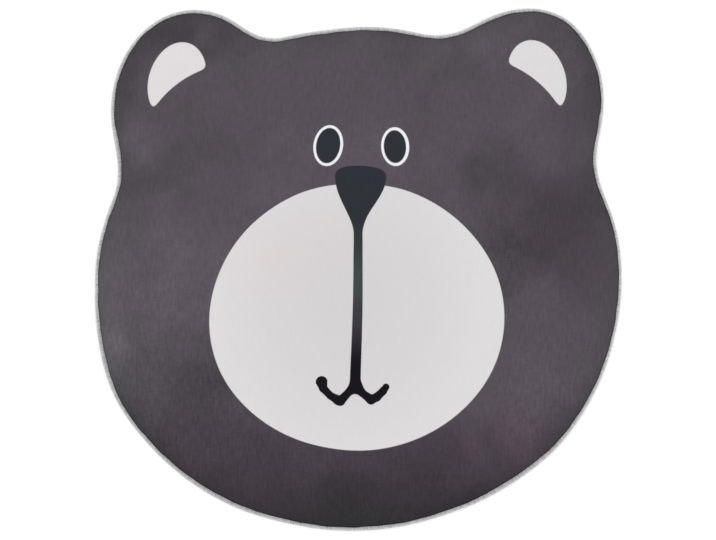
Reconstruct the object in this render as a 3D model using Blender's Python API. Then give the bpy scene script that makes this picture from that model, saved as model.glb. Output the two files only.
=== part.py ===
"""A kids rug cut to the outline of a bear's head, lying flat on the floor.

It is one piece of short pile cloth on its own backing, and one overlocked yarn border that
wraps the cut edge. The origin is on the floor, under the middle of the rug. +Y is the top of
the head, +Z is up, and every size is in metres.
"""

import math

import bmesh
import bpy
import numpy as np

# The head: an ellipse below the ears, a little squarer round the chin, which leans to the left.
HEAD_HALF_WIDTH = 0.501
HEAD_MIDDLE_Y = -0.041
CROWN_REACH = 0.5045
CHIN_REACH = 0.457
CHIN_SQUARENESS = 2.04
CHIN_LEAN = 0.0145

# The ears: two turned ellipses, each given by its middle, half sizes and the turn of its long side.
EARS = (
    {"x": -0.310, "y": 0.299, "half_long": 0.1955, "half_wide": 0.161, "turn_deg": 91.0},
    {"x": 0.257, "y": 0.243, "half_long": 0.273, "half_wide": 0.185, "turn_deg": 60.0},
)
NOTCH_SOFTNESS = 0.055

# Where the cut edge wanders out from that outline, or in: the bearing from the head's middle, how
# many degrees the swell fades over, and how far out it comes.
EDGE_SWELLS = (
    {"bearing_deg": 12, "half_deg": 9, "out": 0.0040},
    {"bearing_deg": 28, "half_deg": 4, "out": -0.0020},
    {"bearing_deg": 46, "half_deg": 5, "out": -0.0025},
    {"bearing_deg": 97, "half_deg": 8, "out": -0.0040},
    {"bearing_deg": 157, "half_deg": 6, "out": -0.0030},
    {"bearing_deg": 173, "half_deg": 6, "out": 0.0015},
    {"bearing_deg": 203, "half_deg": 10, "out": 0.0050},
    {"bearing_deg": 253, "half_deg": 8, "out": -0.0020},
    {"bearing_deg": 290, "half_deg": 9, "out": -0.0020},
    {"bearing_deg": 322, "half_deg": 10, "out": 0.0035},
    {"bearing_deg": 350, "half_deg": 9, "out": -0.0015},
)

# The cloth, with its pile, and the part of it that the edging squeezes.
CLOTH_THICKNESS = 0.0060
SQUEEZED_THICKNESS = 0.0030

# The pile's rounded shoulder, with its points as shares of its width and of its height.
SHOULDER_WIDTH = 0.0045
SHOULDER_POINTS = ((0.0, 0.0), (0.15, 0.50), (0.45, 0.85), (1.0, 1.0))

# The edging yarn, as it wraps the cut edge.
EDGING_WIDTH = 0.0055
YARN_THICKNESS = 0.0010
SEAT_GAP = 0.0003

# The edging's rounded outer corners, with the middle point of each as shares of its size.
CORNER_SIZE = 0.0013
CORNER_INSET_SHARE = 0.3
CORNER_HEIGHT_SHARE = 0.6

RIM_POINTS = 180
SHARP_FROM_DEG = 50
BEARINGS = 2880
BISECTIONS = 40
LEAST_REACH, MOST_REACH = 0.2, 0.8

CLOTH_COLOUR = (0.094, 0.078, 0.096, 1.0)
CLOTH_ROUGHNESS = 0.95
YARN_COLOUR = (0.56, 0.56, 0.57, 1.0)
YARN_ROUGHNESS = 0.85


def clear_scene():
    for obj in list(bpy.data.objects):
        bpy.data.objects.remove(obj)


def head_field(x, y):
    """Below 0 inside the head and above 0 outside it."""
    below = y < HEAD_MIDDLE_Y
    drop = np.clip((HEAD_MIDDLE_Y - y) / CHIN_REACH, 0.0, 1.0)
    across = np.abs(x + CHIN_LEAN * drop) / HEAD_HALF_WIDTH
    along = np.abs(y - HEAD_MIDDLE_Y) / np.where(below, CHIN_REACH, CROWN_REACH)
    power = np.where(below, CHIN_SQUARENESS, 2.0)
    return ((across**power + along**power) ** (1 / power) - 1) * HEAD_HALF_WIDTH


def ear_field(x, y, ear):
    """Below 0 inside the ear and above 0 outside it."""
    turn = math.radians(ear["turn_deg"])
    dx, dy = x - ear["x"], y - ear["y"]
    along = (dx * math.cos(turn) + dy * math.sin(turn)) / ear["half_long"]
    across = (dy * math.cos(turn) - dx * math.sin(turn)) / ear["half_wide"]
    return (np.hypot(along, across) - 1) * ear["half_wide"]


def joined_softly(a, b):
    """The union of two fields, with the notch between them rounded."""
    overlap = np.maximum(NOTCH_SOFTNESS - np.abs(a - b), 0.0) / NOTCH_SOFTNESS
    return np.minimum(a, b) - overlap**2 * NOTCH_SOFTNESS / 4


def edge_swell(x, y):
    """How far the cut edge lies outside the plain outline, at the bearing of each place."""
    bearing = np.degrees(np.arctan2(y - HEAD_MIDDLE_Y, x))
    total = np.zeros_like(bearing)
    for swell in EDGE_SWELLS:
        aside = (bearing - swell["bearing_deg"] + 180.0) % 360.0 - 180.0
        total += swell["out"] * np.exp(-(aside / swell["half_deg"]) ** 2)
    return total


def outline_field(x, y):
    field = head_field(x, y)
    for ear in EARS:
        field = joined_softly(field, ear_field(x, y, ear))
    return field - edge_swell(x, y)


def outline_by_bearing():
    """The outline's points at even bearings round the head's middle, found by halving."""
    bearing = np.linspace(0.0, 2 * math.pi, BEARINGS, endpoint=False)
    inside = np.full(BEARINGS, LEAST_REACH)
    outside = np.full(BEARINGS, MOST_REACH)
    for _ in range(BISECTIONS):
        reach = (inside + outside) / 2
        x = reach * np.cos(bearing)
        y = HEAD_MIDDLE_Y + reach * np.sin(bearing)
        within = outline_field(x, y) < 0
        inside = np.where(within, reach, inside)
        outside = np.where(within, outside, reach)
    return np.stack([x, y], axis=1)


def rim():
    """RIM_POINTS points evenly along the outline, centred on the origin, and their outward normals."""
    path = outline_by_bearing()
    path -= (path.min(axis=0) + path.max(axis=0)) / 2
    closed = np.vstack([path, path[:1]])
    along = np.concatenate([[0.0], np.cumsum(np.linalg.norm(np.diff(closed, axis=0), axis=1))])
    wanted = np.linspace(0.0, along[-1], RIM_POINTS, endpoint=False)
    points = np.stack([np.interp(wanted, along, closed[:, k]) for k in (0, 1)], axis=1)
    ahead = np.roll(points, -1, axis=0) - np.roll(points, 1, axis=0)
    outward = np.stack([ahead[:, 1], -ahead[:, 0]], axis=1)
    return points, outward / np.linalg.norm(outward, axis=1, keepdims=True)


def lofted(name, section, is_ring, colour, roughness):
    """A solid carried round the rim, from a section of (distance in from the outline, height).

    A ring's section closes on itself. Any other solid is closed by one face below and one above.
    """
    points, outward = rim()
    mesh = bmesh.new()
    loops = []
    for inset, height in section:
        at = points - outward * inset
        loops.append([mesh.verts.new((x, y, height)) for x, y in at])
    pairs = list(zip(loops, loops[1:]))
    if is_ring:
        pairs.append((loops[-1], loops[0]))
    else:
        mesh.faces.new(loops[0])
        mesh.faces.new(loops[-1])
    for lower, upper in pairs:
        for i in range(RIM_POINTS):
            j = (i + 1) % RIM_POINTS
            mesh.faces.new((lower[i], lower[j], upper[j], upper[i]))
    bmesh.ops.recalc_face_normals(mesh, faces=mesh.faces)
    data = bpy.data.meshes.new(name)
    mesh.to_mesh(data)
    mesh.free()
    data.shade_smooth()
    data.set_sharp_from_angle(angle=math.radians(SHARP_FROM_DEG))
    data.materials.append(cloth_material(name, colour, roughness))
    obj = bpy.data.objects.new(name, data)
    bpy.context.scene.collection.objects.link(obj)
    return obj


def cloth_material(name, colour, roughness):
    material = bpy.data.materials.new(name)
    material.use_nodes = True
    surface = material.node_tree.nodes["Principled BSDF"]
    surface.inputs["Base Color"].default_value = colour
    surface.inputs["Roughness"].default_value = roughness
    surface.inputs["Metallic"].default_value = 0.0
    return material


def cloth_section():
    """From the underside's middle, into the edging's groove, and over the shoulder to the pile."""
    seat = YARN_THICKNESS + SEAT_GAP
    high = seat + SQUEEZED_THICKNESS
    groove_mouth = EDGING_WIDTH + SEAT_GAP
    shoulder_height = CLOTH_THICKNESS - high
    margin = [
        (groove_mouth + seat, 0.0),
        (groove_mouth, seat),
        (seat, seat),
        (seat, high),
    ]
    shoulder = [
        (groove_mouth + across * SHOULDER_WIDTH, high + up * shoulder_height)
        for across, up in SHOULDER_POINTS
    ]
    return margin + shoulder


def edging_section():
    """A C that is open towards the cloth, with a rounded outer side and rounded lips."""
    high = 2 * YARN_THICKNESS + 2 * SEAT_GAP + SQUEEZED_THICKNESS
    lip = YARN_THICKNESS / 2
    corner_inset = CORNER_INSET_SHARE * CORNER_SIZE
    corner_height = CORNER_HEIGHT_SHARE * CORNER_SIZE
    return [
        (EDGING_WIDTH - lip, 0.0),
        (CORNER_SIZE, 0.0),
        (corner_inset, corner_height),
        (0.0, high / 2),
        (corner_inset, high - corner_height),
        (CORNER_SIZE, high),
        (EDGING_WIDTH - lip, high),
        (EDGING_WIDTH, high - lip),
        (EDGING_WIDTH - lip, high - YARN_THICKNESS),
        (YARN_THICKNESS, high - YARN_THICKNESS),
        (YARN_THICKNESS, YARN_THICKNESS),
        (EDGING_WIDTH - lip, YARN_THICKNESS),
        (EDGING_WIDTH, lip),
    ]


def main():
    clear_scene()
    lofted("rug_cloth", cloth_section(), False, CLOTH_COLOUR, CLOTH_ROUGHNESS)
    lofted("edging", edging_section(), True, YARN_COLOUR, YARN_ROUGHNESS)


main()
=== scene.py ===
"""The looks of the bear-head kids rug: a printed short pile with an overlocked yarn edging.

The origin is on the floor, under the middle of the rug. +Y is the top of the head, +Z is up, and
every size is in metres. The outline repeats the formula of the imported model.
"""

import math

import bpy
import numpy as np
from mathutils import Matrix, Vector
from mathutils.geometry import delaunay_2d_cdt


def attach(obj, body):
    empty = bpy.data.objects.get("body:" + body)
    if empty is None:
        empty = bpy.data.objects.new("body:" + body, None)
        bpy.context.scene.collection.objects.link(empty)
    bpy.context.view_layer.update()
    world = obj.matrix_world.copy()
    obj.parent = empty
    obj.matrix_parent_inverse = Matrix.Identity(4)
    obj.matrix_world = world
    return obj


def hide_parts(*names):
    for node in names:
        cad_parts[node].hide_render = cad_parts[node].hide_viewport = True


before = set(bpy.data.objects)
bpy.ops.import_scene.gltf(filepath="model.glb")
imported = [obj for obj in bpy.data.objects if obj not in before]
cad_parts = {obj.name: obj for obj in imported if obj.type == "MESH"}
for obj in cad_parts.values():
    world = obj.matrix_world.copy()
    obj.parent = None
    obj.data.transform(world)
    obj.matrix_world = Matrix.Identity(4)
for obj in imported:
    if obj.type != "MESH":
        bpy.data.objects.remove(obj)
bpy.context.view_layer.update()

# The photograph's frame, and the camera straight above the rug.
PHOTO_WIDTH, PHOTO_HEIGHT = 716, 540
METRES_PER_PIXEL = 0.001904
OUTLINE_ORIGIN_PIXEL = (358.18, 269.37)
CAMERA_HEIGHT = 2.5
SENSOR_WIDTH = 0.036

# The head: an ellipse below the ears, a little squarer round the chin, which leans to the left.
HEAD_HALF_WIDTH = 0.501
HEAD_MIDDLE_Y = -0.041
CROWN_REACH = 0.5045
CHIN_REACH = 0.457
CHIN_SQUARENESS = 2.04
CHIN_LEAN = 0.0145

# The ears: two turned ellipses, each given by its middle, half sizes and the turn of its long side.
EARS = (
    {"x": -0.310, "y": 0.299, "half_long": 0.1955, "half_wide": 0.161, "turn_deg": 91.0},
    {"x": 0.257, "y": 0.243, "half_long": 0.273, "half_wide": 0.185, "turn_deg": 60.0},
)
NOTCH_SOFTNESS = 0.055

# Where the cut edge wanders out from that outline, or in: the bearing from the head's middle, how
# many degrees the swell fades over, and how far out it comes.
EDGE_SWELLS = (
    (12, 9, 0.0040),
    (28, 4, -0.0020),
    (46, 5, -0.0025),
    (97, 8, -0.0040),
    (157, 6, -0.0030),
    (173, 6, 0.0015),
    (203, 10, 0.0050),
    (253, 8, -0.0020),
    (290, 9, -0.0020),
    (322, 10, 0.0035),
    (350, 9, -0.0015),
)
BEARINGS = 2880
BISECTIONS = 40
LEAST_REACH, MOST_REACH = 0.2, 0.8

# The cloth: its pile, and the margin that the edging squeezes.
CLOTH_THICKNESS = 0.0060
SQUEEZED_LOW, SQUEEZED_HIGH = 0.0013, 0.0043
CUT_EDGE_INSET = 0.0013
GROOVE_INSET = 0.0058
CLOTH_RIM_POINTS = 1100
PILE_PITCH = 0.0038
BACKING_PITCH = 0.020
FIRST_PILE_ROW = 0.0152
FIRST_BACKING_ROW = 0.018
LATTICE_REACH = 0.52
SHARP_FROM_DEG = 50.0

# How a loop is filled: with the triangles inside it, and points this close taken as one.
FILL_INSIDE, FILL_MERGE = 1, 1e-7

# The relief of the pile: broad waves of the cloth, and clumps of pile that lie along Y.
WAVE_HEIGHT, WAVE_LENGTHS = 0.00022, (0.10, 0.30)
CLUMP_HEIGHT, CLUMP_LENGTHS = 0.00010, (0.009, 0.016)
CLUMP_STRETCH, CLUMP_COUNT = 2.5, 48
LEVEL_RIM, RELIEF_RUN = 0.010, 0.020

# The overlocked edging: one slanting turn of yarn after another round the cut edge.
TURNS = 1268
TURN_RINGS = 14
YARN_SIDES = 5
YARN_HALF_WIDTH = 0.00154
YARN_HALF_THICKNESS = 0.00050
WRAP_MIDDLE_INSET = 0.0031
WRAP_MIDDLE_HEIGHT = 0.0028
WRAP_HALF_WIDTH = 0.0028
WRAP_HALF_HEIGHT = 0.0023
WRAP_SQUARENESS = 2.5
WRAP_END_DEG = 155.0
EVEN_SHIFT, STRAY_SHIFT, STRAY_SHARE = 0.045, 0.10, 0.06
TURN_SHADE = 0.05
# The turns' inner ends are painted darker: a painted shadow of the pile's edge, which leans over them.
INNER_SHADE, INNER_SHADE_START, INNER_SHADE_RUN = 0.30, 0.0012, 0.0040
FULLNESS_SPREAD, SLANT_SPREAD, REACH_SPREAD = 0.035, 0.12, 0.00022
FULLNESS_IN_REACH, FULLNESS_IN_THICKNESS = 0.5, 0.4
END_NARROWING, END_THINNING, END_POWER = 0.35, 0.25, 6

# Each short tube has a square of the map: its run fills most of it, and its two ends lie beside.
MAP_COLUMNS = 36
MAP_RUN, MAP_LIFT = (0.06, 0.80), (0.06, 0.94)
MAP_END_RADIUS, MAP_FIRST_END, MAP_LAST_END = 0.05, (0.89, 0.25), (0.89, 0.70)

# The pile's face fills its own map, and the underside lies small in a corner of it.
PILE_MAP_SCALE = 0.98
BACKING_MAP_SCALE, BACKING_MAP_CORNER = 0.11, 0.062

# Where the border shows wider or narrower than elsewhere, in rows like those of EDGE_SWELLS: the
# last number is how much further in the border's inner side lies.
BORDER_SWELLS = (
    (12, 10, -0.0015),
    (40, 7, -0.0018),
    (55, 6, -0.0006),
    (115, 5, 0.0008),
    (130, 9, -0.0007),
    (150, 4, 0.0016),
    (196, 8, 0.0018),
    (236, 14, 0.0016),
    (275, 6, 0.0006),
    (309, 15, 0.0022),
    (350, 11, -0.0015),
)

# All of it reaches this much further in, and its inner side wobbles by this much.
BORDER_MORE, BORDER_WOBBLE, WOBBLE_LENGTHS = 0.00042, 0.00026, (0.016, 0.060)

# The needle thread that holds the turns.
THREAD_INSET = 0.0052
THREAD_HEIGHT = 0.0051
THREAD_DIP = 0.0006
THREAD_RADIUS = 0.00034
THREAD_POINTS, THREAD_SIDES = 5, 4
STITCH_SHARE = 0.96
THREAD_SPREAD = 0.00012

# The short pile that leans over the thread: the least and the most of each size of its tufts.
LIP_TUFTS = 11000
TUFT_INSET = (0.0064, 0.0092)
TUFT_LEAN = (0.0003, 0.0019)
TUFT_LENGTH = (0.0006, 0.0011)
TUFT_HALF_WIDTH = (0.00022, 0.00040)
TUFT_DRIFT = 0.0005
TUFT_ROOT = 0.0004

# The height of the pile's shoulder under the tufts, by how far in it lies.
SHOULDER_INSETS = (0.0058, 0.0065, 0.0074, 0.0092)
SHOULDER_HEIGHTS = (0.0043, 0.0050, 0.0055, 0.0058)


def outline_fields(x, y):
    """How far outside the head and outside each ear, in metres, roughly; negative inside."""
    below = y < HEAD_MIDDLE_Y
    drop = np.clip((HEAD_MIDDLE_Y - y) / CHIN_REACH, 0.0, 1.0)
    across = np.abs(x + CHIN_LEAN * drop) / HEAD_HALF_WIDTH
    along = np.abs(y - HEAD_MIDDLE_Y) / np.where(below, CHIN_REACH, CROWN_REACH)
    power = np.where(below, CHIN_SQUARENESS, 2.0)
    fields = [((across ** power + along ** power) ** (1.0 / power) - 1.0) * HEAD_HALF_WIDTH]
    for ear in EARS:
        turn = math.radians(ear["turn_deg"])
        right, up = x - ear["x"], y - ear["y"]
        ear_along = (right * math.cos(turn) + up * math.sin(turn)) / ear["half_long"]
        ear_across = (up * math.cos(turn) - right * math.sin(turn)) / ear["half_wide"]
        fields.append((np.hypot(ear_along, ear_across) - 1.0) * ear["half_wide"])
    return fields


def swells(x, y, rows, middle=(0.0, HEAD_MIDDLE_Y)):
    """The sum of the rows' swells, at the bearing of each place from the middle."""
    bearing = np.degrees(np.arctan2(y - middle[1], x - middle[0]))
    total = np.zeros_like(bearing)
    for at_deg, half_deg, out in rows:
        aside = (bearing - at_deg + 180.0) % 360.0 - 180.0
        total += out * np.exp(-(aside / half_deg) ** 2)
    return total


def outline_field(x, y):
    """The head and its ears joined by soft notches: how far outside the rug, roughly."""
    joined, *ears = outline_fields(x, y)
    for ear in ears:
        overlap = np.maximum(NOTCH_SOFTNESS - np.abs(joined - ear), 0.0) / NOTCH_SOFTNESS
        joined = np.minimum(joined, ear) - overlap ** 2 * NOTCH_SOFTNESS / 4.0
    return joined - swells(x, y, EDGE_SWELLS)


def closed_outline():
    """A fine closed line round the rug, by bisection along rays from the head's middle."""
    bearing = np.linspace(0.0, 2.0 * math.pi, BEARINGS, endpoint=False)
    near = np.full(BEARINGS, LEAST_REACH)
    far = np.full(BEARINGS, MOST_REACH)
    for _ in range(BISECTIONS):
        reach = (near + far) / 2.0
        inside = outline_field(reach * np.cos(bearing), HEAD_MIDDLE_Y + reach * np.sin(bearing)) < 0.0
        near = np.where(inside, reach, near)
        far = np.where(inside, far, reach)
    return np.stack([near * np.cos(bearing), HEAD_MIDDLE_Y + near * np.sin(bearing)], axis=1)


OUTLINE = closed_outline()
OUTLINE_MIDDLE = (OUTLINE.min(axis=0) + OUTLINE.max(axis=0)) / 2.0


def rim(count):
    """Evenly spaced points round the rug, counter-clockwise, with their outward directions."""
    line = OUTLINE - OUTLINE_MIDDLE
    closed = np.vstack([line, line[:1]])
    lengths = np.hypot(*np.diff(closed, axis=0).T)
    run = np.concatenate([[0.0], np.cumsum(lengths)])
    wanted = np.linspace(0.0, run[-1], count, endpoint=False)
    points = np.stack([np.interp(wanted, run, closed[:, k]) for k in range(2)], axis=1)
    tangent = np.roll(points, -1, axis=0) - np.roll(points, 1, axis=0)
    tangent /= np.hypot(*tangent.T)[:, None]
    outward = np.stack([tangent[:, 1], -tangent[:, 0]], axis=1)
    return points, outward


def depth_inside(x, y):
    """Roughly how far inside the rug's rim a place is, in metres."""
    return -outline_field(x + OUTLINE_MIDDLE[0], y + OUTLINE_MIDDLE[1])


def ripples(x, y, seed, shortest, longest, stretch=1.0, count=28):
    """A smooth random field of spread 1, made of seeded waves, longer along Y by the stretch."""
    rng = np.random.default_rng(seed)
    total = np.zeros_like(x)
    for _ in range(count):
        steepness = 2.0 * math.pi / rng.uniform(shortest, longest)
        heading = rng.uniform(0.0, 2.0 * math.pi)
        phase = rng.uniform(0.0, 2.0 * math.pi)
        total += np.sin(steepness * (x * math.cos(heading) + y * math.sin(heading) / stretch) + phase)
    return total / math.sqrt(count / 2.0)


def border_extra(points):
    """How much further in the border reaches at each of the points, as a column."""
    x, y = (points + OUTLINE_MIDDLE).T
    wobble = BORDER_MORE + BORDER_WOBBLE * ripples(x, y, 41, *WOBBLE_LENGTHS)
    return (swells(x, y, BORDER_SWELLS) + wobble)[:, None]


def soft_step(value):
    """Rises smoothly from 0 to 1 as the value does."""
    t = np.clip(value, 0.0, 1.0)
    return t * t * (3.0 - 2.0 * t)


def lattice(pitch, least_depth):
    """Points of an even triangular lattice that lie at least this deep inside the rim."""
    rows = np.arange(-LATTICE_REACH, LATTICE_REACH, pitch * math.sqrt(3.0) / 2.0)
    columns = np.arange(-LATTICE_REACH, LATTICE_REACH, pitch)
    x, y = np.meshgrid(columns, rows)
    x = x + np.where(np.arange(len(rows)) % 2, pitch / 2.0, 0.0)[:, None]
    keep = depth_inside(x, y) > least_depth
    return np.stack([x[keep], y[keep]], axis=1)


def filled(loop, inner):
    """Triangles that fill a closed loop through the inner points, as numbers into loop + inner."""
    spots = [Vector(p) for p in np.vstack([loop, inner])]
    made = delaunay_2d_cdt(spots, [], [list(range(len(loop)))], FILL_INSIDE, FILL_MERGE)
    source = [origins[0] for origins in made[3]]
    return [[source[k] for k in face] for face in made[2]]


# Soft patches, here and below: x, y, half width, half height and what is added in the middle.
# The printed pile is painted lighter where more is added, and darker where less is: the pile's own
# unevenness together with painted sheen and painted shade.
NAP_AND_PAINTED_LIGHT_PATCHES = (
    (-0.334, 0.458, 0.095, 0.050, -0.46),
    (-0.450, 0.360, 0.040, 0.090, -0.28),
    (-0.430, 0.246, 0.060, 0.035, 0.16),
    (-0.300, 0.227, 0.100, 0.045, -0.19),
    (-0.390, 0.178, 0.070, 0.035, -0.19),
    (-0.330, 0.030, 0.130, 0.110, 0.12),
    (0.000, 0.215, 0.250, 0.070, 0.10),
    (0.085, 0.417, 0.035, 0.055, -0.10),
    (0.204, 0.370, 0.050, 0.070, -0.13),
    (0.327, 0.462, 0.080, 0.035, 0.06),
    (0.240, 0.420, 0.045, 0.035, 0.14),
    (0.265, 0.285, 0.050, 0.070, 0.13),
    (0.455, 0.350, 0.050, 0.140, -0.20),
    (0.235, 0.195, 0.070, 0.050, -0.30),
    (0.380, 0.120, 0.100, 0.070, -0.38),
    (0.335, 0.035, 0.095, 0.050, -0.38),
    (0.470, 0.020, 0.050, 0.130, -0.20),
    (-0.360, -0.045, 0.110, 0.080, 0.15),
    (-0.480, -0.138, 0.045, 0.055, 0.46),
    (-0.480, 0.000, 0.035, 0.080, 0.14),
    (-0.430, 0.205, 0.045, 0.035, 0.14),
    (-0.410, -0.250, 0.050, 0.050, 0.12),
    (0.360, -0.170, 0.075, 0.070, 0.10),
    (0.300, -0.310, 0.120, 0.080, 0.16),
    (-0.290, -0.195, 0.080, 0.050, -0.26),
    (-0.290, -0.265, 0.130, 0.070, -0.26),
    (0.390, -0.306, 0.055, 0.040, -0.08),
    (0.320, -0.380, 0.060, 0.040, 0.16),
    (0.170, -0.318, 0.070, 0.040, -0.22),
    (-0.100, -0.315, 0.050, 0.035, -0.08),
    (-0.015, -0.440, 0.110, 0.050, -0.28),
    (0.165, -0.455, 0.090, 0.050, -0.20),
    (0.090, -0.370, 0.200, 0.055, -0.16),
    (-0.180, -0.370, 0.110, 0.060, -0.10),
    (-0.145, 0.141, 0.045, 0.030, 0.12),
    (0.305, 0.115, 0.050, 0.050, -0.10),
    (0.260, -0.030, 0.060, 0.035, -0.14),
    (0.205, 0.425, 0.045, 0.035, 0.12),
    (0.375, 0.430, 0.035, 0.035, -0.12),
    (0.000, -0.480, 0.100, 0.025, -0.12),
    (-0.365, 0.425, 0.050, 0.030, -0.12),
    (-0.425, 0.375, 0.030, 0.030, -0.08),
    (-0.195, -0.318, 0.060, 0.030, -0.09),
    (-0.385, -0.270, 0.035, 0.040, -0.06),
    (0.480, 0.060, 0.040, 0.060, 0.06),
)

# Painted shade: the whole lower side is painted darker, most of all close to the rim, and a thin painted
# shade runs along all the pile's edge beside the edging.
CHIN_SHADE, CHIN_SHADE_TOP, CHIN_SHADE_RUN = -0.60, -0.22, 0.26
RIM_SHADE, RIM_SHADE_DEPTH = -0.42, 0.030
RIM_SHADE_TOP, RIM_SHADE_RUN = -0.08, 0.25
EDGE_SHADE, EDGE_SHADE_DEPTH = -0.22, 0.012

# How far the patches' outlines drift, and the slight unevenness of the nap all over.
DRIFT, DRIFT_LENGTHS = 0.009, (0.05, 0.16)
BROAD_NAP, BROAD_LENGTHS = 0.030, (0.06, 0.20)
FINE_NAP, FINE_LENGTHS = 0.010, (0.018, 0.05)

# The pale print is darkest in the muzzle's middle and lighter away from it, up to a limit.
PALE_MIDDLE_X, PALE_MIDDLE_Y = -0.020, -0.050
PALE_LEAST, PALE_RISE_LIMIT = 0.939, 0.100
PALE_RISE_ACROSS, PALE_RISE_UP = 1.50, 1.15

# Where the pale print looks faintly pink.
PINK_PATCHES = (
    (-0.170, 0.015, 0.100, 0.060, 1.0),
    (-0.060, 0.060, 0.080, 0.040, 0.6),
    (-0.343, 0.360, 0.080, 0.090, 1.0),
)

# The field's purple cast fades towards the rim and in these patches, and is stronger low down.
CAST_TOP, CAST_RUN, CAST_RIM, CAST_RIM_DEPTH = -0.20, 0.16, 1.1, 0.020
CAST_PATCHES = (
    (0.025, -0.480, 0.150, 0.055, 2.2),
    (-0.060, -0.430, 0.060, 0.040, 0.9),
    (-0.445, -0.225, 0.060, 0.090, 1.3),
    (-0.470, 0.080, 0.050, 0.080, 0.5),
    (0.400, 0.100, 0.120, 0.200, -0.5),
)

# Where the fine grain shows more than elsewhere.
GRAIN_LEAST = 0.67
GRAIN_PATCHES = (
    (-0.340, -0.250, 0.200, 0.160, 0.75),
    (0.050, -0.420, 0.300, 0.100, 0.45),
    (0.380, -0.250, 0.120, 0.120, 0.45),
    (0.270, 0.030, 0.070, 0.090, 0.70),
    (-0.400, -0.020, 0.140, 0.100, 0.20),
    (0.380, 0.420, 0.070, 0.050, 0.50),
)


def patches(x, y, rows):
    """The sum of the rows' soft patches at each place."""
    total = np.zeros_like(x)
    for middle_x, middle_y, half_wide, half_high, more in rows:
        right = (x - middle_x) / half_wide
        up = (y - middle_y) / half_high
        total += more * np.exp(-(right ** 2 + up ** 2))
    return total


def nap_and_painted_light(x, y):
    """How light the pile is painted at each place, as a factor near 1: its own unevenness, with painted
    sheen and painted shade.
    """
    drift_x = x + DRIFT * ripples(x, y, 11, *DRIFT_LENGTHS)
    drift_y = y + DRIFT * ripples(x, y, 12, *DRIFT_LENGTHS)
    total = BROAD_NAP * ripples(x, y, 13, *BROAD_LENGTHS)
    total += FINE_NAP * ripples(x, y, 14, *FINE_LENGTHS)
    total += patches(drift_x, drift_y, NAP_AND_PAINTED_LIGHT_PATCHES)
    # Painted shade: darker low down, most of all near the rim, and along all the pile's edge.
    total += CHIN_SHADE * soft_step((CHIN_SHADE_TOP - drift_y) / CHIN_SHADE_RUN)
    low = soft_step((RIM_SHADE_TOP - y) / RIM_SHADE_RUN)
    depth = np.maximum(depth_inside(x, y), 0.0)
    total += RIM_SHADE * low * np.exp(-depth / RIM_SHADE_DEPTH)
    total += EDGE_SHADE * np.exp(-depth / EDGE_SHADE_DEPTH)
    return np.exp(total)


def pale_shade(x, y):
    """How light the pale print is at each place, as a factor near 1."""
    rise = PALE_RISE_ACROSS * (x - PALE_MIDDLE_X) ** 2 + PALE_RISE_UP * (y - PALE_MIDDLE_Y) ** 2
    return PALE_LEAST + np.minimum(rise, PALE_RISE_LIMIT)


def cast(x, y):
    """How the field's colour leans: to grey above 0, to purple below."""
    low = soft_step((CAST_TOP - y) / CAST_RUN)
    depth = np.maximum(depth_inside(x, y), 0.0)
    return CAST_RIM * np.exp(-depth / CAST_RIM_DEPTH) - low + patches(x, y, CAST_PATCHES)


def muzzle_swell(x, y):
    """How far the muzzle's edge lies outside its plain oval, at each place's bearing."""
    middle_x, middle_y = OUTLINE_MIDDLE
    return swells(x + middle_x, y + middle_y, MUZZLE_SWELLS, (MUZZLE["x"], MUZZLE["y"]))


def write_shades(mesh, x, y):
    """Gives each of the mesh's points what the printed pile's material reads there."""
    write_points(mesh, "nap_and_painted_light", nap_and_painted_light(x, y))
    write_points(mesh, "pale", pale_shade(x, y))
    write_points(mesh, "pink", patches(x, y, PINK_PATCHES).clip(0.0, 1.0))
    write_points(mesh, "cast", cast(x, y))
    write_points(mesh, "grain", GRAIN_LEAST + patches(x, y, GRAIN_PATCHES))
    write_points(mesh, "muzzle_swell", muzzle_swell(x, y))


def pile_height(x, y):
    """The height of the pile's face over the floor: almost level, with slight waves and clumps."""
    fade = soft_step((depth_inside(x, y) - LEVEL_RIM) / RELIEF_RUN)
    waves = WAVE_HEIGHT * ripples(x, y, 21, *WAVE_LENGTHS)
    clumps = ripples(x, y, 22, *CLUMP_LENGTHS, stretch=CLUMP_STRETCH, count=CLUMP_COUNT)
    return CLOTH_THICKNESS + fade * (waves + CLUMP_HEIGHT * clumps)


def new_object(name, places, faces, materials, smooth_deg=None):
    """A mesh object from plain lists, shaded smooth, sharp from the given angle."""
    mesh = bpy.data.meshes.new(name)
    mesh.from_pydata([tuple(p) for p in places], [], faces)
    for material in materials:
        mesh.materials.append(material)
    mesh.shade_smooth()
    if smooth_deg is not None:
        mesh.set_sharp_from_angle(angle=math.radians(smooth_deg))
    made = bpy.data.objects.new(name, mesh)
    bpy.context.scene.collection.objects.link(made)
    return made


def write_map(mesh, corner_places):
    """Gives the mesh the map that its colours are baked through."""
    layer = mesh.uv_layers.new(name="OFBake")
    layer.data.foreach_set("uv", np.asarray(corner_places, dtype=np.float32).ravel())


def write_points(mesh, name, values):
    """Gives each of the mesh's points a number that its material reads."""
    attribute = mesh.attributes.new(name, "FLOAT", "POINT")
    attribute.data.foreach_set("value", np.asarray(values, dtype=np.float32))


# The loops of the cloth's section, from the pile's edge over the squeezed margin to the underside:
# how far in each lies, its height, and whether it follows the border's uneven inner side.
CLOTH_LOOPS = (
    (0.0103, CLOTH_THICKNESS, 1.0),
    (0.0086, 0.0059, 1.0),
    (0.0074, 0.0056, 1.0),
    (0.0065, 0.0051, 1.0),
    (GROOVE_INSET, SQUEEZED_HIGH, 1.0),
    (CUT_EDGE_INSET, SQUEEZED_HIGH, 0.0),
    (CUT_EDGE_INSET, SQUEEZED_LOW, 0.0),
    (GROOVE_INSET, SQUEEZED_LOW, 0.0),
    (0.0071, 0.0, 0.0),
)
LAST_TOP_LOOP = 6
UNROLLED_INSET = CUT_EDGE_INSET - (SQUEEZED_HIGH - SQUEEZED_LOW)


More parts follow.
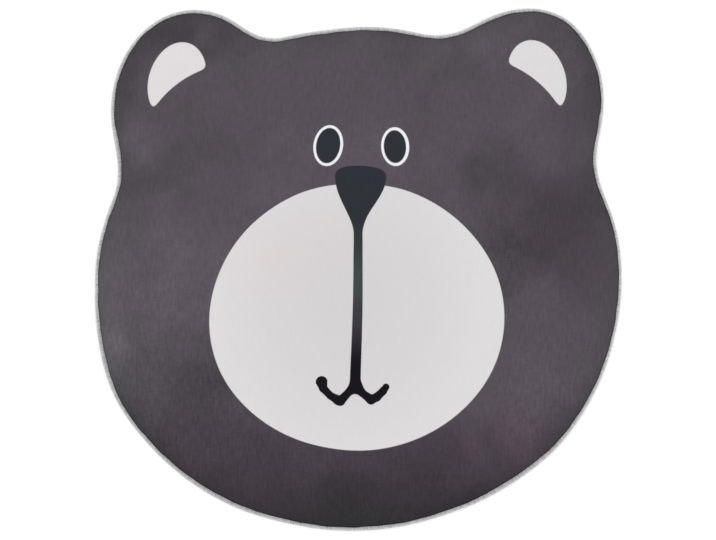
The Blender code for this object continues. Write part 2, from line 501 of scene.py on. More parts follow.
def cloth_faces(loops, pile_points, backing_points):
    """The cloth's faces, from the pile's face down to the underside, and which are the underside."""
    count = len(loops[0])
    pile_start = count * len(loops)
    backing_start = pile_start + len(pile_points)
    last_loop_start = count * (len(loops) - 1)
    faces, is_underside = [], []
    for face in filled(loops[0], pile_points):
        faces.append([k if k < count else k - count + pile_start for k in face])
        is_underside.append(False)
    for row in range(len(loops) - 1):
        for k in range(count):
            after = (k + 1) % count
            faces.append([row * count + k, (row + 1) * count + k,
                          (row + 1) * count + after, row * count + after])
            is_underside.append(row >= LAST_TOP_LOOP)
    for face in filled(loops[-1], backing_points):
        turned = [k + last_loop_start if k < count else k - count + backing_start for k in face]
        faces.append(turned[::-1])
        is_underside.append(True)
    return faces, is_underside


def make_cloth(materials):
    """The one cut piece of cloth: its pile face, its squeezed margin and its underside, closed."""
    points, outward = rim(CLOTH_RIM_POINTS)
    extra = border_extra(points)
    loops = [points - outward * (inset + follows * extra) for inset, _, follows in CLOTH_LOOPS]
    pile_points = lattice(PILE_PITCH, FIRST_PILE_ROW)
    backing_points = lattice(BACKING_PITCH, FIRST_BACKING_ROW)
    flat = np.vstack(loops + [pile_points, backing_points])
    heights = [np.full(len(points), height) for _, height, _ in CLOTH_LOOPS]
    heights += [pile_height(*pile_points.T), np.zeros(len(backing_points))]
    places = np.column_stack([flat, np.concatenate(heights)])

    faces, is_underside = cloth_faces(loops, pile_points, backing_points)
    made = new_object("rug_pile", places, faces, materials, smooth_deg=SHARP_FROM_DEG)
    made.data.polygons.foreach_set("material_index", np.array(is_underside, dtype=np.int32))
    write_shades(made.data, places[:, 0], places[:, 1])
    write_map(made.data, cloth_map(made.data, points, outward, flat, is_underside))
    return made


def cloth_map(mesh, points, outward, flat, is_underside):
    """The pile's face fills the map, and the plain underside lies small in a free corner of it."""
    seen_from_above = flat.copy()
    cut_row = slice(LAST_TOP_LOOP * len(points), (LAST_TOP_LOOP + 1) * len(points))
    seen_from_above[cut_row] = points - outward * UNROLLED_INSET
    upper = 0.5 + seen_from_above * PILE_MAP_SCALE
    lower = BACKING_MAP_CORNER + flat * BACKING_MAP_SCALE
    corner_point = np.empty(len(mesh.loops), dtype=np.int32)
    mesh.loops.foreach_get("vertex_index", corner_point)
    sizes = np.empty(len(mesh.polygons), dtype=np.int32)
    mesh.polygons.foreach_get("loop_total", sizes)
    corner_below = np.repeat(np.array(is_underside), sizes)
    return np.where(corner_below[:, None], lower[corner_point], upper[corner_point])


def tubes(paths, sideways, half_wide, half_thick, sides):
    """Points and faces of many short closed tubes, one along each row of paths."""
    count, rings, _ = paths.shape
    ahead = np.gradient(paths, axis=1)
    ahead /= np.linalg.norm(ahead, axis=2, keepdims=True)
    wide = sideways - (sideways * ahead).sum(axis=2, keepdims=True) * ahead
    wide /= np.linalg.norm(wide, axis=2, keepdims=True)
    thick = np.cross(ahead, wide)
    turn = 2.0 * math.pi * (np.arange(sides) + 0.5) / sides
    places = (paths[:, :, None, :]
              + wide[:, :, None, :] * (half_wide[:, :, None] * np.cos(turn))[..., None]
              + thick[:, :, None, :] * (half_thick[:, :, None] * np.sin(turn))[..., None])
    faces = []
    for tube in range(count):
        start = tube * rings * sides
        for ring in range(rings - 1):
            row = start + ring * sides
            for side in range(sides):
                after = (side + 1) % sides
                faces.append([row + side, row + after, row + sides + after, row + sides + side])
        faces.append([start + side for side in reversed(range(sides))])
        faces.append([start + (rings - 1) * sides + side for side in range(sides)])
    return places.reshape(-1, 3), faces


def tube_map(count, rings, sides):
    """A small square of the map for each tube, with its run, and its two ends beside it."""
    turn = 2.0 * math.pi * (np.arange(sides) + 0.5) / sides
    end_ring = np.stack([np.cos(turn), np.sin(turn)], axis=1) * MAP_END_RADIUS
    cell = []
    run = np.linspace(*MAP_RUN, rings)
    lift = np.linspace(*MAP_LIFT, sides + 1)
    for ring in range(rings - 1):
        for side in range(sides):
            cell += [(run[ring], lift[side]), (run[ring], lift[side + 1]),
                     (run[ring + 1], lift[side + 1]), (run[ring + 1], lift[side])]
    cell += [tuple(p) for p in (end_ring + MAP_FIRST_END)[::-1]]
    cell += [tuple(p) for p in end_ring + MAP_LAST_END]
    cell = np.array(cell)
    tube = np.arange(count)
    corner = np.stack([tube % MAP_COLUMNS, tube // MAP_COLUMNS], axis=1)
    return ((corner[:, None, :] + cell[None, :, :]) / MAP_COLUMNS).reshape(-1, 2)


def rim_frames(count):
    """Places on the rim, with the directions outward, along and up at each, in space."""
    points, outward = rim(count)
    none = np.zeros((count, 1))
    places = np.hstack([points, none])
    out = np.hstack([outward, none])
    along = np.hstack([-outward[:, 1:], outward[:, :1], none])
    return places, out, along, np.array([0.0, 0.0, 1.0])


def rim_paths(frames, outward_run, along_run, height_run):
    """A path in space from each place on the rim, by its runs outward, along the rim and up."""
    places, out, along, up = frames
    return (places[:, None, :] + out[:, None, :] * outward_run[..., None]
            + along[:, None, :] * along_run[..., None] + up * height_run[..., None])


def turn_runs(rng, extra, pitch):
    """How full each turn of yarn is, and its runs outward, along the rim and up."""
    angle = np.radians(np.linspace(WRAP_END_DEG, -WRAP_END_DEG, TURN_RINGS))
    power = 2.0 / WRAP_SQUARENESS
    outside = np.sign(np.cos(angle)) * np.abs(np.cos(angle)) ** power
    height = np.sign(np.sin(angle)) * np.abs(np.sin(angle)) ** power * WRAP_HALF_HEIGHT
    forward = np.linspace(-0.5, 0.5, TURN_RINGS) * pitch

    fullness = rng.normal(1.0, FULLNESS_SPREAD, (TURNS, 1))
    stray = np.where(rng.random((TURNS, 1)) < STRAY_SHARE, STRAY_SHIFT, EVEN_SHIFT)
    shift = rng.normal(0.0, 1.0, (TURNS, 1)) * stray * pitch
    slant = rng.normal(1.0, SLANT_SPREAD, (TURNS, 1))
    reach_in = np.where(outside < 0.0, 1.0, 0.0) * rng.normal(0.0, REACH_SPREAD, (TURNS, 1))
    above = np.where(angle > 0.0, 1.0, 0.0) * extra
    half_run = WRAP_HALF_WIDTH + above / 2.0
    half_run = half_run * ((1.0 - FULLNESS_IN_REACH) + FULLNESS_IN_REACH * fullness)
    outward_run = -WRAP_MIDDLE_INSET - above / 2.0 + outside * half_run - reach_in
    height_run = WRAP_MIDDLE_HEIGHT + height * np.ones((TURNS, 1))
    return fullness, outward_run, shift + slant * forward, height_run


def make_turns(material):
    """The yarn of the edging: slanting turns side by side, each from the pile over to the backing."""
    rng = np.random.default_rng(31)
    frames = rim_frames(TURNS)
    places, _, along, _ = frames
    pitch = float(np.linalg.norm(places[1] - places[0]))
    fullness, outward_run, along_run, height_run = turn_runs(rng, border_extra(places[:, :2]), pitch)
    paths = rim_paths(frames, outward_run, along_run, height_run)

    ends = np.abs(np.linspace(-1.0, 1.0, TURN_RINGS)) ** END_POWER
    half_wide = YARN_HALF_WIDTH * fullness * (1.0 - END_NARROWING * ends)
    thickness = (1.0 - FULLNESS_IN_THICKNESS) + FULLNESS_IN_THICKNESS * fullness
    half_thick = YARN_HALF_THICKNESS * thickness * (1.0 - END_THINNING * ends)
    sideways = np.broadcast_to(along[:, None, :], paths.shape)
    points, faces = tubes(paths, sideways, half_wide, half_thick, YARN_SIDES)
    points[:, 2] = np.maximum(points[:, 2], 0.0)
    made = new_object("edging_turns", points, faces, [material])
    write_map(made.data, tube_map(TURNS, TURN_RINGS, YARN_SIDES))
    shade = TURN_SHADE * rng.normal(0.0, 1.0, (TURNS, 1)).clip(-2.0, 2.0)
    # Painted shadow: each turn is made darker towards its inner end, where the pile leans over it.
    shade = shade - INNER_SHADE * soft_step((-outward_run - INNER_SHADE_START) / INNER_SHADE_RUN)
    write_points(made.data, "shade", np.repeat(shade.ravel(), YARN_SIDES))
    return made


def make_needle_thread(material):
    """Short stitches in a line at the inner ends of the turns, which dip into the cloth between."""
    rng = np.random.default_rng(32)
    frames = rim_frames(TURNS)
    places, out, _, _ = frames
    pitch = float(np.linalg.norm(places[1] - places[0]))
    step = np.linspace(-0.5, 0.5, THREAD_POINTS)
    wander = rng.normal(0.0, THREAD_SPREAD, (TURNS, 1)) * np.ones(THREAD_POINTS)
    inset = THREAD_INSET + border_extra(places[:, :2]) + wander
    along_run = step * pitch * STITCH_SHARE * np.ones((TURNS, 1))
    height = THREAD_HEIGHT - THREAD_DIP * (2.0 * step) ** 2 * np.ones((TURNS, 1))
    paths = rim_paths(frames, -inset, along_run, height)
    sideways = np.broadcast_to(out[:, None, :], paths.shape)
    radius = np.full((TURNS, THREAD_POINTS), THREAD_RADIUS)
    points, faces = tubes(paths, sideways, radius, radius, THREAD_SIDES)
    made = new_object("needle_thread", points, faces, [material])
    write_map(made.data, tube_map(TURNS, THREAD_POINTS, THREAD_SIDES))
    write_points(made.data, "shade", np.zeros(len(points)))
    return made


def make_pile_lip(material):
    """Short tufts at the pile's edge, which lean out over the needle thread."""
    rng = np.random.default_rng(33)
    places, out, along, up = rim_frames(LIP_TUFTS)
    inset = rng.uniform(*TUFT_INSET, LIP_TUFTS)
    lean = rng.uniform(*TUFT_LEAN, LIP_TUFTS)
    drift = rng.normal(0.0, TUFT_DRIFT, LIP_TUFTS)
    length = rng.uniform(*TUFT_LENGTH, LIP_TUFTS)
    half_wide = rng.uniform(*TUFT_HALF_WIDTH, LIP_TUFTS)
    ground = np.interp(inset, SHOULDER_INSETS, SHOULDER_HEIGHTS)
    from_rim = inset[:, None] + border_extra(places[:, :2])
    base = places - out * from_rim + up * (ground - TUFT_ROOT)[:, None]
    tip = base + out * lean[:, None] + along * drift[:, None] + up * (length + TUFT_ROOT)[:, None]
    corners = []
    for k in range(3):
        turn = 2.0 * math.pi * k / 3.0
        corners.append(base + (out * math.cos(turn) + along * math.sin(turn)) * half_wide[:, None])
    points = np.stack(corners + [tip], axis=1).reshape(-1, 3)
    tuft = np.array([[0, 1, 3], [1, 2, 3], [2, 0, 3], [0, 2, 1]])
    faces = (np.arange(LIP_TUFTS)[:, None, None] * 4 + tuft).reshape(-1, 3).tolist()
    made = new_object("pile_lip", points, faces, [material])
    write_shades(made.data, points[:, 0], points[:, 1])
    return made


# The Mix node's sockets for colours, by number, because its other sockets share their names.
MIX_FIRST_COLOUR, MIX_SECOND_COLOUR, MIX_COLOUR = 6, 7, 2


class Steps:
    """Adds arithmetic to a material, one Math node for each step."""

    def __init__(self, tree):
        self.tree = tree

    def add_node(self, kind, **settings):
        node = self.tree.nodes.new(kind)
        for name, value in settings.items():
            setattr(node, name, value)
        return node

    def feed(self, socket, value):
        if isinstance(value, bpy.types.NodeSocket):
            self.tree.links.new(value, socket)
        else:
            socket.default_value = value

    def math(self, operation, *values):
        node = self.add_node("ShaderNodeMath", operation=operation)
        for socket, value in zip(node.inputs, values):
            self.feed(socket, value)
        return node.outputs[0]

    def vector(self, operation, first, second):
        node = self.add_node("ShaderNodeVectorMath", operation=operation)
        self.feed(node.inputs[0], first)
        self.feed(node.inputs[1], second)
        return node.outputs[0]

    def stroke(self, vector, start, end, start_half, end_half):
        """Roughly how far outside a round-ended stroke, in metres."""
        run = Vector((end[0] - start[0], end[1] - start[1], 0.0))
        from_start = self.vector("SUBTRACT", vector, (*start, 0.0))
        dot = self.add_node("ShaderNodeVectorMath", operation="DOT_PRODUCT")
        self.feed(dot.inputs[0], from_start)
        self.feed(dot.inputs[1], tuple(run / run.length_squared))
        share = self.math("MINIMUM", self.math("MAXIMUM", dot.outputs["Value"], 0.0), 1.0)
        beside = self.vector("SUBTRACT", from_start, self.scaled(tuple(run), share))
        half = self.math("MULTIPLY_ADD", share, end_half - start_half, start_half)
        return self.math("SUBTRACT", self.length(beside), half)

    def length(self, vector):
        node = self.add_node("ShaderNodeVectorMath", operation="LENGTH")
        self.feed(node.inputs[0], vector)
        return node.outputs["Value"]

    def split(self, vector):
        node = self.add_node("ShaderNodeSeparateXYZ")
        self.feed(node.inputs[0], vector)
        return node.outputs[0], node.outputs[1]

    def placed(self, vector, x, y, turn_deg=0.0, wide=1.0, high=1.0):
        """The vector seen from a turned frame at x, y, in units of wide and high."""
        node = self.add_node("ShaderNodeMapping", vector_type="TEXTURE")
        self.feed(node.inputs["Vector"], vector)
        node.inputs["Location"].default_value = (x, y, 0.0)
        node.inputs["Rotation"].default_value = (0.0, 0.0, math.radians(turn_deg))
        node.inputs["Scale"].default_value = (wide, high, 1.0)
        return node.outputs[0]

    def ellipse(self, vector, x, y, half_wide, half_high, turn_deg=0.0):
        """Roughly how far outside an ellipse, in metres."""
        inner = self.placed(vector, x, y, turn_deg, half_wide, half_high)
        beyond = self.math("SUBTRACT", self.length(inner), 1.0)
        return self.math("MULTIPLY", beyond, min(half_wide, half_high))

    def inside(self, distance, softness):
        """1 where the distance is negative, 0 where it is positive, with a soft change."""
        node = self.add_node("ShaderNodeMapRange", interpolation_type="SMOOTHSTEP")
        self.feed(node.inputs["Value"], distance)
        node.inputs["From Min"].default_value = softness
        node.inputs["From Max"].default_value = -softness
        return node.outputs[0]

    def noise(self, vector, scale, detail):
        """Noise about 0, from about -0.5 to 0.5, at the given steps per metre along X, Y and Z."""
        stretched = self.vector("MULTIPLY", vector, scale)
        node = self.add_node("ShaderNodeTexNoise")
        self.feed(node.inputs["Vector"], stretched)
        node.inputs["Scale"].default_value = 1.0
        node.inputs["Detail"].default_value = detail
        return self.math("SUBTRACT", node.outputs[0], 0.5)

    def blend(self, factor, first, second):
        """The first colour where the factor is 0, the second where it is 1."""
        node = self.add_node("ShaderNodeMix", data_type="RGBA")
        self.feed(node.inputs["Factor"], factor)
        self.feed(node.inputs[MIX_FIRST_COLOUR], first)
        self.feed(node.inputs[MIX_SECOND_COLOUR], second)
        return node.outputs[MIX_COLOUR]

    def scaled(self, colour, factor):
        """A colour times a factor."""
        node = self.add_node("ShaderNodeVectorMath", operation="SCALE")
        self.feed(node.inputs[0], colour)
        self.feed(node.inputs["Scale"], factor)
        return node.outputs[0]

    def attribute(self, name):
        node = self.add_node("ShaderNodeAttribute", attribute_name=name)
        return node.outputs["Fac"]

    def object_place(self):
        return self.add_node("ShaderNodeTexCoord").outputs["Object"]

    def with_noises(self, vector, rows, total):
        """The total with each row's share of its noise added, and the noises by themselves."""
        noises = [self.noise(vector, row["steps"], row["detail"]) for row in rows]
        for noise, row in zip(noises, rows):
            total = self.math("MULTIPLY_ADD", noise, row["share"], total)
        return total, noises

    def relief(self, shader, height, strength, distance):
        """Fine relief on the shader's surface."""
        bump = self.add_node("ShaderNodeBump")
        bump.inputs["Strength"].default_value = strength
        bump.inputs["Distance"].default_value = distance
        self.feed(bump.inputs["Height"], height)
        self.feed(shader.inputs["Normal"], bump.outputs[0])


# The printed face, in the X and Y of the outline's formula. Its axis leans a little to the right.
FACE_LEAN_DEG = -1.68
MUZZLE = {"x": -0.0028, "y": -0.0913, "half_wide": 0.2808, "half_high": 0.2543, "turn_deg": 2.2}
EYE_RINGS = (
    {"x": -0.0570, "y": 0.2356, "half_wide": 0.0280, "half_high": 0.0390, "turn_deg": -9.5},
    {"x": 0.0705, "y": 0.2338, "half_wide": 0.0266, "half_high": 0.0369, "turn_deg": 3.1},
)
EYES = (
    {"x": -0.0572, "y": 0.2357, "half_wide": 0.0225, "half_high": 0.0334, "turn_deg": -9.5},
    {"x": 0.0700, "y": 0.2337, "half_wide": 0.0209, "half_high": 0.0308, "turn_deg": 3.1},
)
FACE_MIDDLE_X = -0.0005
NOSE_TOP, NOSE_WIDEST, NOSE_FOOT = 0.1969, 0.1757, 0.0660
NOSE_HALF_WIDTH = 0.0480
NOSE_SQUARENESS = 2.5
NOSE_LAP = 0.0030
STEM_HALF_WIDTH = 0.0081
STEM_FLARE = 0.0065
STEM_END_Y = -0.2300

# Where the muzzle's edge wanders out from its plain oval, or in, as the cut edge does above.
MUZZLE_SWELLS = (
    (36, 16, -0.0015),
    (70, 10, 0.0010),
    (112, 14, 0.0020),
    (160, 18, -0.0020),
    (204, 18, 0.0020),
    (256, 16, -0.0015),
    (340, 18, 0.0010),
)

# The nose and stem bend a little to the left, and back again lower down.
STEM_BENDS = (
    {"from_y": 0.170, "run": 0.070, "shift": -0.0030},
    {"from_y": 0.115, "run": 0.065, "shift": 0.0014},
    {"from_y": 0.100, "run": 0.190, "shift": 0.0033},
    {"from_y": -0.120, "run": 0.090, "shift": -0.0006},
)

# The mouth's two halves: strokes with round ends, through these places, each with its half width.
MOUTH_HALVES = (
    (
        (-0.0695, -0.2145, 0.0110),
        (-0.0665, -0.2265, 0.0074),
        (-0.0530, -0.2405, 0.0066),
        (-0.0385, -0.2490, 0.0088),
        (-0.0340, -0.2505, 0.0088),
        (-0.0165, -0.2325, 0.0066),
        (-0.0055, -0.2260, 0.0064),
    ),
    (
        (-0.0055, -0.2260, 0.0064),
        (0.0085, -0.2360, 0.0068),
        (0.0245, -0.2480, 0.0087),
        (0.0350, -0.2435, 0.0078),
        (0.0470, -0.2322, 0.0070),
        (0.0530, -0.2238, 0.0062),
    ),
)
BEND_SOFTNESS = 0.0030
MEETING_SOFTNESS = 0.0150

# The stem spreads a little into the mouth's right half.
MOUTH_ROOT = ((0.0015, -0.2120, 0.0030), (0.0080, -0.2330, 0.0050))

# The pale patch in each ear: an ellipse with a round bite where the head's fur comes over it.
EAR_PATCHES = (
    {"x": -0.3447, "y": 0.3584, "turn_deg": 73.7, "bite_x": -0.2277, "bite_y": 0.1980, "bite": 0.1943},
    {"x": 0.3404, "y": 0.3628, "turn_deg": 107.8, "bite_x": 0.2124, "bite_y": 0.2046, "bite": 0.2001},
)
PATCH_HALF_LONG, PATCH_HALF_WIDE = 0.0753, 0.0542
PATCH_SOFTNESS = 0.0170

# The print's edges: how far they blur and wander, and how far the inks spread over the pale.
PRINT_SOFTNESS = 0.0009
PRINT_WANDER = 0.0009
WANDER_STEPS = 700.0
INK_SPREAD = 0.0004

# Colours of the print, the yarn and the backing.
FIELD_COLOUR = (0.0800, 0.0666, 0.0820, 1.0)
PALE_COLOUR = (0.6460, 0.6310, 0.6360, 1.0)
EAR_COLOUR = (0.6440, 0.6300, 0.6360, 1.0)
RING_COLOUR = (0.7800, 0.7700, 0.8050, 1.0)
SLATE_COLOUR = (0.0202, 0.0235, 0.0300, 1.0)
YARN_COLOUR = (0.5900, 0.5900, 0.5980, 1.0)
BACKING_COLOUR = (0.4200, 0.4150, 0.4050, 1.0)

# The ink's colour changes down the stem: it turns a lighter grey, and then black towards the mouth.
INK_STAGES = (
    {"from_y": 0.095, "to_y": 0.072, "colour": (0.0235, 0.0312, 0.0322, 1.0)},
    {"from_y": 0.075, "to_y": -0.030, "colour": (0.0463, 0.0575, 0.0580, 1.0)},
    {"from_y": -0.030, "to_y": -0.080, "colour": (0.0385, 0.0367, 0.0449, 1.0)},
    {"from_y": -0.077, "to_y": -0.188, "colour": (0.0024, 0.0018, 0.0052, 1.0)},
)

# What the field's cast and the pink of the pale print add to red, green and blue.
CAST_TINT = (-0.055, 0.030, -0.035)
PINK_TINT = (0.018, -0.022, -0.016)

# Noises, here and below: steps per metre along X, Y and Z, and how much of each is added.
# The pile's grain starts with its upright streaks and ends with its fibres, which both also make
# its fine relief. Less of the grain shows in the pale print and in the ink.
GRAIN_NOISES = (
    {"steps": (215.0, 50.0, 0.0), "detail": 1.0, "share": 0.50},
    {"steps": (60.0, 330.0, 0.0), "detail": 1.0, "share": 0.26},
    {"steps": (75.0, 75.0, 0.0), "detail": 3.0, "share": 0.14},
    {"steps": (1500.0, 1500.0, 1500.0), "detail": 1.0, "share": 0.20},
)
STREAK_RELIEF = 0.8
PALE_GRAIN, INK_GRAIN = 0.085, 0.5

# The felt underside: its cloudiness and its fibres.
FELT_NOISES = (
    {"steps": (35.0, 35.0, 35.0), "detail": 4.0, "share": 0.18},
    {"steps": (900.0, 900.0, 900.0), "detail": 2.0, "share": 0.35},
)

# The edging yarn: its slow drift round the rug, its unevenness and its fibres.
YARN_NOISES = (
    {"steps": (14.0, 14.0, 0.0), "detail": 2.0, "share": 0.20},
    {"steps": (130.0, 130.0, 0.0), "detail": 1.0, "share": 0.34},
    {"steps": (2200.0, 2200.0, 2200.0), "detail": 2.0, "share": 0.30},
)


def new_material(name):
    """A material with its Principled shader, and the steps that add to its nodes."""
    material = bpy.data.materials.new(name)
    material.use_nodes = True
    return material, material.node_tree.nodes["Principled BSDF"], Steps(material.node_tree)


def stem_across(steps, across, up):
    """How far a place is from the bent middle line of the nose and stem."""
    for bend in STEM_BENDS:
        down = steps.math("SUBTRACT", bend["from_y"], up)
        node = steps.add_node("ShaderNodeMapRange", interpolation_type="SMOOTHSTEP")
        steps.feed(node.inputs["Value"], down)
        node.inputs["From Max"].default_value = bend["run"]
        across = steps.math("MULTIPLY_ADD", node.outputs[0], -bend["shift"], across)
    return steps.math("ABSOLUTE", across)


def nose_and_stem(steps, across, up):
    """The nose, round above and tapering in a smooth curve into the stem below it."""
    across = stem_across(steps, across, up)
    run = steps.math("DIVIDE", steps.math("SUBTRACT", NOSE_WIDEST, up), NOSE_WIDEST - NOSE_FOOT)
    run = steps.math("MINIMUM", steps.math("MAXIMUM", run, 0.0), 1.0)
    wave = steps.math("COSINE", steps.math("MULTIPLY", run, math.pi))
    taper = steps.math("MULTIPLY", steps.math("ADD", wave, 1.0), (NOSE_HALF_WIDTH - STEM_HALF_WIDTH) / 2.0)
    below_foot = steps.math("MINIMUM", steps.math("SUBTRACT", up, NOSE_FOOT), 0.0)
    half_width = steps.math("ADD", taper, STEM_HALF_WIDTH)
    half_width = steps.math("MULTIPLY_ADD", below_foot, -STEM_FLARE, half_width)
    lower = steps.math("SUBTRACT", across, half_width)
    lower = steps.math("MAXIMUM", lower, steps.math("SUBTRACT", up, NOSE_WIDEST + NOSE_LAP))
    lower = steps.math("MAXIMUM", lower, steps.math("SUBTRACT", STEM_END_Y, up))

    high = steps.math("DIVIDE", steps.math("SUBTRACT", up, NOSE_WIDEST), NOSE_TOP - NOSE_WIDEST)
    high = steps.math("MAXIMUM", high, 0.0)
    wide = steps.math("DIVIDE", across, NOSE_HALF_WIDTH)
    total = steps.math("ADD", steps.math("POWER", wide, NOSE_SQUARENESS),
                       steps.math("POWER", high, NOSE_SQUARENESS))
    crown = steps.math("SUBTRACT", steps.math("POWER", total, 1.0 / NOSE_SQUARENESS), 1.0)
    crown = steps.math("MULTIPLY", crown, NOSE_TOP - NOSE_WIDEST)
    crown = steps.math("MAXIMUM", crown, steps.math("SUBTRACT", NOSE_WIDEST - NOSE_LAP, up))
    return steps.math("MINIMUM", lower, crown)


def mouth_half(steps, flat, line):
    """One side of the mouth, stroke by stroke, with its bends slightly rounded."""
    whole = None
    for start, end in zip(line, line[1:]):
        stroke = steps.stroke(flat, start[:2], end[:2], start[2], end[2])
        whole = stroke if whole is None else steps.math("SMOOTH_MIN", whole, stroke, BEND_SOFTNESS)
    return whole


def ear_patch(steps, flat, row):
    """One pale ear patch."""
    oval = steps.ellipse(flat, row["x"], row["y"], PATCH_HALF_LONG, PATCH_HALF_WIDE, row["turn_deg"])
    bite = steps.ellipse(flat, row["bite_x"], row["bite_y"], row["bite"], row["bite"])
    return steps.math("SMOOTH_MAX", oval, steps.math("MULTIPLY", bite, -1.0), PATCH_SOFTNESS)


def print_place(steps, place):
    """Each place in the print's own X and Y, with the slight wander of the print's edges."""
    wander = steps.add_node("ShaderNodeTexNoise")
    steps.feed(wander.inputs["Vector"], place)
    wander.inputs["Scale"].default_value = WANDER_STEPS
    shift = steps.vector("SUBTRACT", wander.outputs["Color"], (0.5, 0.5, 0.5))
    shift = steps.vector("MULTIPLY", shift, (PRINT_WANDER, PRINT_WANDER, 0.0))
    flat = steps.vector("MULTIPLY", place, (1.0, 1.0, 0.0))
    flat = steps.vector("ADD", flat, (*OUTLINE_MIDDLE, 0.0))
    return steps.vector("ADD", flat, shift)


def pale_layers(steps, flat):
    """Where the muzzle, the ear patches and the rings round the eyes lie, each with its colour."""
    muzzle = steps.math("SUBTRACT", steps.ellipse(flat, **MUZZLE), steps.attribute("muzzle_swell"))
    ears = steps.math("MINIMUM", *[ear_patch(steps, flat, row) for row in EAR_PATCHES])
    rings = steps.math("MINIMUM", *[steps.ellipse(flat, **row) for row in EYE_RINGS])
    layers = ((muzzle, PALE_COLOUR), (ears, EAR_COLOUR), (rings, RING_COLOUR))
    return [(steps.inside(distance, PRINT_SOFTNESS), colour) for distance, colour in layers]


def ink_layer(steps, flat, across, up):
    """Where the dark ink lies: the nose with its stem, the mouth and the eyes."""
    halves = [mouth_half(steps, flat, line) for line in MOUTH_HALVES]
    mouth = steps.math("SMOOTH_MIN", *halves, MEETING_SOFTNESS)
    ink = steps.math("SMOOTH_MIN", nose_and_stem(steps, across, up), mouth, MEETING_SOFTNESS)
    start, end = MOUTH_ROOT
    root = steps.stroke(flat, start[:2], end[:2], start[2], end[2])
    ink = steps.math("SMOOTH_MIN", ink, root, BEND_SOFTNESS)
    eyes = steps.math("MINIMUM", *[steps.ellipse(flat, **row) for row in EYES])
    ink = steps.math("SUBTRACT", steps.math("MINIMUM", ink, eyes), INK_SPREAD)
    return steps.inside(ink, PRINT_SOFTNESS)


def ink_colour(steps, up):
    """The ink's colour, which changes in stages down the face."""
    colour = SLATE_COLOUR
    for stage in INK_STAGES:
        middle = (stage["from_y"] + stage["to_y"]) / 2.0
        half_run = (stage["from_y"] - stage["to_y"]) / 2.0
        reached = steps.inside(steps.math("SUBTRACT", up, middle), half_run)
        colour = steps.blend(reached, colour, stage["colour"])
    return colour


def printed_colour(steps, place, texture):
    """The colour of the printed pile: dark field, pale patches, dark eyes, nose, stem and mouth."""
    flat = print_place(steps, place)
    across, up = steps.split(steps.placed(flat, FACE_MIDDLE_X, 0.0, FACE_LEAN_DEG))

    textured = steps.math("ADD", texture, 1.0)
    # The dark field is painted lighter and darker here: its own unevenness, with painted sheen and painted
    # shade.
    colour = steps.scaled(FIELD_COLOUR[:3], steps.math("MULTIPLY", steps.attribute("nap_and_painted_light"), textured))
    cast_tint = steps.vector("ADD", steps.scaled(CAST_TINT, steps.attribute("cast")), (1.0, 1.0, 1.0))
    colour = steps.vector("MULTIPLY", colour, cast_tint)

    pale_textured = steps.math("MULTIPLY_ADD", texture, PALE_GRAIN, 1.0)
    pale_factor = steps.math("MULTIPLY", steps.attribute("pale"), pale_textured)
    pink_tint = steps.vector("ADD", steps.scaled(PINK_TINT, steps.attribute("pink")), (1.0, 1.0, 1.0))
    for layer, layer_colour in pale_layers(steps, flat):
        pale_print = steps.vector("MULTIPLY", steps.scaled(layer_colour[:3], pale_factor), pink_tint)
        colour = steps.blend(layer, colour, pale_print)

    ink_textured = steps.math("MULTIPLY_ADD", texture, INK_GRAIN, 1.0)
    ink_print = steps.scaled(ink_colour(steps, up), ink_textured)
    return steps.blend(ink_layer(steps, flat, across, up), colour, ink_print)


def pile_material():
    """Short dense pile with the print in it: soft sheen, fine fibres and faint upright streaks."""
    material, shader, steps = new_material("printed_pile")
    place = steps.object_place()
    texture, noises = steps.with_noises(place, GRAIN_NOISES, 0.0)
    texture = steps.math("MULTIPLY", texture, steps.attribute("grain"))
    steps.feed(shader.inputs["Base Color"], printed_colour(steps, place, texture))
    shader.inputs["Roughness"].default_value = 0.92
    shader.inputs["Specular IOR Level"].default_value = 0.18
    shader.inputs["Sheen Weight"].default_value = 0.12
    shader.inputs["Sheen Roughness"].default_value = 0.45
    height = steps.math("MULTIPLY_ADD", noises[0], STREAK_RELIEF, noises[-1])
    steps.relief(shader, height, strength=0.6, distance=0.0005)
    return material


def backing_material():
    """A plain pale felt under the pile."""
    material, shader, steps = new_material("felt_backing")
    shade, noises = steps.with_noises(steps.object_place(), FELT_NOISES, 1.0)
    steps.feed(shader.inputs["Base Color"], steps.scaled(BACKING_COLOUR[:3], shade))
    shader.inputs["Roughness"].default_value = 0.95
    shader.inputs["Specular IOR Level"].default_value = 0.2
    steps.relief(shader, noises[-1], strength=0.7, distance=0.0004)
    return material


def yarn_material():
    """Light grey spun yarn, each turn a little lighter or darker than the next, and painted darker towards
    its inner end, a painted shadow of the pile.
    """
    material, shader, steps = new_material("edging_yarn")
    shade = steps.math("ADD", steps.attribute("shade"), 1.0)
    shade, noises = steps.with_noises(steps.object_place(), YARN_NOISES, shade)
    steps.feed(shader.inputs["Base Color"], steps.scaled(YARN_COLOUR[:3], shade))
    shader.inputs["Roughness"].default_value = 0.72
    shader.inputs["Specular IOR Level"].default_value = 0.3
    shader.inputs["Sheen Weight"].default_value = 0.15
    shader.inputs["Sheen Roughness"].default_value = 0.5
    steps.relief(shader, noises[-1], strength=0.5, distance=0.0003)
    return material


def floor_material():
    """A plain white studio floor."""
    material, shader, steps = new_material("studio_floor")
    shader.inputs["Base Color"].default_value = (0.93, 0.93, 0.93, 1.0)
    shader.inputs["Roughness"].default_value = 0.9
    shader.inputs["Emission Color"].default_value = (1.0, 1.0, 1.0, 1.0)
    shader.inputs["Emission Strength"].default_value = 0.05
    return material


FLOOR_REACH, FLOOR_HEIGHT = 6.0, -0.0003
FLOOR_CORNERS = ((-1, -1), (1, -1), (1, 1), (-1, 1))


def make_floor():
    """A wide level floor just under the rug."""
    corners = [(x * FLOOR_REACH, y * FLOOR_REACH, FLOOR_HEIGHT) for x, y in FLOOR_CORNERS]
    floor = new_object("studio_floor", corners, [[0, 1, 2, 3]], [floor_material()])


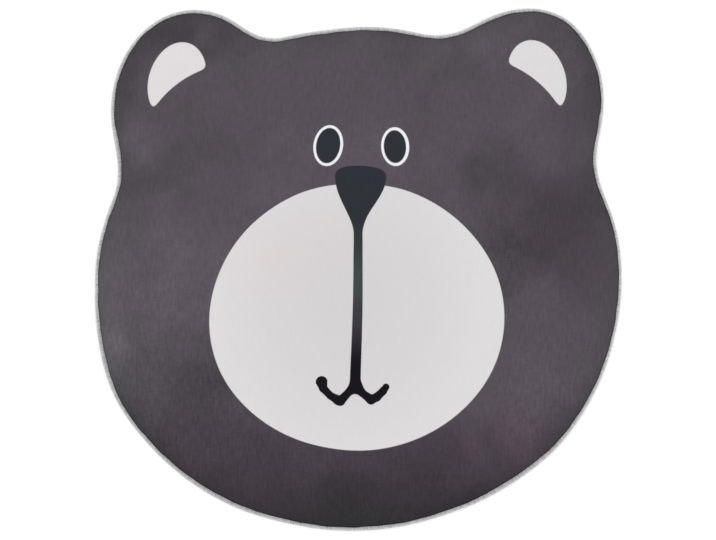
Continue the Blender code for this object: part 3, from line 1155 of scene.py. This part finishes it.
def make_camera():
    """The camera hangs straight above the rug, as the photograph's did, with +Y up in the picture."""
    frame_width = PHOTO_WIDTH * METRES_PER_PIXEL
    lens = bpy.data.cameras.new("photo_camera")
    lens.sensor_fit = "HORIZONTAL"
    lens.sensor_width = SENSOR_WIDTH * 1000.0
    lens.lens = lens.sensor_width * (CAMERA_HEIGHT - CLOTH_THICKNESS) / frame_width
    camera = bpy.data.objects.new("photo_camera", lens)
    camera.location = (
        (PHOTO_WIDTH / 2.0 - OUTLINE_ORIGIN_PIXEL[0]) * METRES_PER_PIXEL - OUTLINE_MIDDLE[0],
        (OUTLINE_ORIGIN_PIXEL[1] - PHOTO_HEIGHT / 2.0) * METRES_PER_PIXEL - OUTLINE_MIDDLE[1],
        CAMERA_HEIGHT,
    )
    bpy.context.scene.collection.objects.link(camera)
    bpy.context.scene.camera = camera


# Soft lights: name, place, side of the square lamp and power in watts.
LAMPS = (
    {"name": "key", "place": (-1.3, 1.2, 2.6), "side": 1.8, "power": 26.0},
    {"name": "fill", "place": (1.5, -0.9, 2.4), "side": 2.0, "power": 16.0},
)
SKY_STRENGTH = 0.78


def make_lights():
    """Two wide soft lamps over the rug and an even white sky."""
    for row in LAMPS:
        lamp = bpy.data.lights.new(row["name"], "AREA")
        lamp.size = row["side"]
        lamp.energy = row["power"]
        holder = bpy.data.objects.new(row["name"], lamp)
        holder.location = row["place"]
        aim = -Vector(row["place"])
        holder.rotation_euler = aim.to_track_quat("-Z", "Y").to_euler()
        bpy.context.scene.collection.objects.link(holder)
    sky = bpy.data.worlds.new("studio_sky")
    sky.use_nodes = True
    background = sky.node_tree.nodes["Background"]
    background.inputs["Color"].default_value = (1.0, 1.0, 1.0, 1.0)
    background.inputs["Strength"].default_value = SKY_STRENGTH
    bpy.context.scene.world = sky
    bpy.context.scene.view_settings.view_transform = "Standard"


def main():
    make_camera()
    pile = pile_material()
    yarn = yarn_material()

    cloth = make_cloth([pile, backing_material()])
    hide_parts("rug_cloth")
    lip = make_pile_lip(pile)

    turns = make_turns(yarn)
    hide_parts("edging")
    thread = make_needle_thread(yarn)

    for piece in (cloth, lip, turns, thread):
        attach(piece, "root")

    make_floor()
    make_lights()


main()
